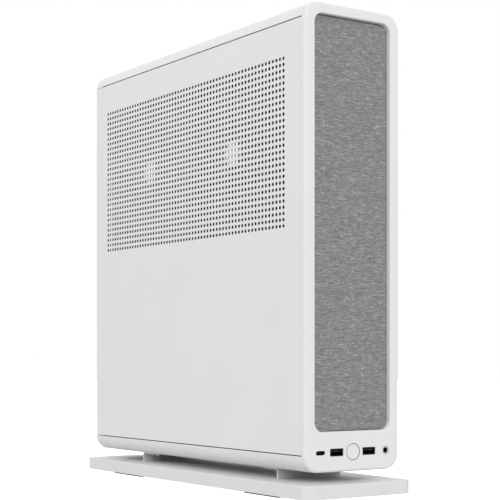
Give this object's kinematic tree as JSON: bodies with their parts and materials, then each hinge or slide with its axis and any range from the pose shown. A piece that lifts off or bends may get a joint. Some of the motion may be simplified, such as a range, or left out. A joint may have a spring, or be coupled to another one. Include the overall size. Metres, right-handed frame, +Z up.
{
  "type": "desktop computer tower",
  "caption": "Slim white desktop computer tower on a flat stand, with a grey fabric front, perforated pull-off side panels, front ports, fans and inner boards.",
  "frame": {"origin": "centre of the stand's footprint, on the floor", "axes": "+Z up, front bezel towards -Y, +X to the right seen from the front"},
  "size_m": [0.11, 0.374, 0.395],
  "materials": {
    "white_steel": "matte powder coat",
    "white_plastic": "fine satin moulding",
    "zinc_steel": "zinc plated sheet",
    "dark_plastic": "matt moulding",
    "black_plastic": "semi-gloss connector moulding",
    "grey_fabric": "heathered plain weave",
    "rubber": "matt",
    "circuit_board": "solder mask",
    "aluminium": "extruded, satin",
    "nickel": "nickel plated",
    "dark_screw": "black zinc",
    "brass": "turned",
    "lead_sheath": "soft black sheath"
  },
  "bodies": {
    "chassis": {"top_shell": "white_steel", "bottom_shell": "white_steel", "front_frame": "zinc_steel", "rear_frame": "white_steel", "chamber_divider": "zinc_steel", "board_tray": "zinc_steel", "fan_bracket": "zinc_steel", "panel_sockets": "dark_plastic", "front_bezel": "white_plastic", "io_board": "circuit_board", "usb_a_ports": "nickel", "usb_c_port": "nickel", "audio_jack": "black_plastic", "base_plate": "white_plastic", "rubber_feet": "rubber", "stand_bracket_front": "white_steel", "stand_bracket_rear": "white_steel", "m3_screws": "dark_screw", "motherboard": "circuit_board", "board_standoffs": "brass", "cpu_socket": "nickel", "cpu": "nickel", "cooler_heatsink": "aluminium", "cooler_fan_frame": "dark_plastic", "memory_slots": "black_plastic", "memory_modules": "circuit_board", "board_pcie_slot": "black_plastic", "rear_io_ports": "nickel", "io_shield": "zinc_steel", "board_headers": "black_plastic", "riser_card": "circuit_board", "riser_slot": "black_plastic", "gpu_board": "circuit_board", "gpu_heatsink": "aluminium", "gpu_shroud": "dark_plastic", "gpu_backplate": "dark_plastic", "gpu_bracket": "zinc_steel", "psu_case": "dark_screw", "psu_fan_grille": "zinc_steel", "mains_inlet": "black_plastic", "case_fan_frames": "dark_plastic", "ac_lead": "lead_sheath", "power_cables": "lead_sheath", "io_cable": "lead_sheath", "ssd_drive": "dark_screw"},
    "left_panel": {"left_panel": "white_steel", "left_panel_studs": "zinc_steel"},
    "right_panel": {"right_panel": "white_steel", "right_panel_studs": "zinc_steel"},
    "fabric_insert": {"fabric_frame": "dark_plastic", "front_fabric": "grey_fabric"},
    "power_button": {"power_button": "white_plastic"},
    "case_fan_front": {"case_fan_rotor_front": "dark_plastic"},
    "case_fan_rear": {"case_fan_rotor_rear": "dark_plastic"},
    "cooler_fan": {"cooler_fan_rotor": "dark_plastic"},
    "gpu_fan_front": {"gpu_rotor_front": "dark_plastic"},
    "gpu_fan_rear": {"gpu_rotor_rear": "dark_plastic"},
    "psu_fan": {"psu_fan_rotor": "dark_plastic"},
    "memory_latch_a": {"memory_latch_a": "dark_plastic"},
    "memory_latch_b": {"memory_latch_b": "dark_plastic"}
  },
  "joints": [
    {"name": "left_panel_pull", "type": "slide", "parent": "chassis", "child": "left_panel", "axis": [-1, 0, 0], "range_m": [0, 0.03]},
    {"name": "right_panel_pull", "type": "slide", "parent": "chassis", "child": "right_panel", "axis": [1, 0, 0], "range_m": [0, 0.03]},
    {"name": "fabric_pull", "type": "slide", "parent": "chassis", "child": "fabric_insert", "axis": [0, -1, 0], "range_m": [0, 0.02]},
    {"name": "power_press", "type": "slide", "parent": "chassis", "child": "power_button", "axis": [0, 1, 0], "range_m": [0, 0.0009], "stiffness_N_per_m": 1500, "springref_m": -0.0004},
    {"name": "case_fan_front_spin", "type": "hinge", "parent": "chassis", "child": "case_fan_front", "pos_m": [-0.04, -0.0683, 0.286], "axis": [1, 0, 0], "continuous": true},
    {"name": "case_fan_rear_spin", "type": "hinge", "parent": "chassis", "child": "case_fan_rear", "pos_m": [-0.04, 0.0737, 0.286], "axis": [1, 0, 0], "continuous": true},
    {"name": "cooler_fan_spin", "type": "hinge", "parent": "chassis", "child": "cooler_fan", "pos_m": [0.011, 0.098, 0.103], "axis": [1, 0, 0], "continuous": true},
    {"name": "gpu_fan_front_spin", "type": "hinge", "parent": "chassis", "child": "gpu_fan_front", "pos_m": [0.03, -0.026, 0.258], "axis": [1, 0, 0], "continuous": true},
    {"name": "gpu_fan_rear_spin", "type": "hinge", "parent": "chassis", "child": "gpu_fan_rear", "pos_m": [0.03, 0.072, 0.258], "axis": [1, 0, 0], "continuous": true},
    {"name": "psu_fan_spin", "type": "hinge", "parent": "chassis", "child": "psu_fan", "pos_m": [0.032, -0.098, 0.1145], "axis": [1, 0, 0], "continuous": true},
    {"name": "memory_latch_a_tilt", "type": "hinge", "parent": "chassis", "child": "memory_latch_a", "pos_m": [-0.0324, 0.014, 0.038], "axis": [0, 1, 0], "range_deg": [0, 30]},
    {"name": "memory_latch_b_tilt", "type": "hinge", "parent": "chassis", "child": "memory_latch_b", "pos_m": [-0.0324, 0.024, 0.038], "axis": [0, 1, 0], "range_deg": [0, 30]}
  ]
}
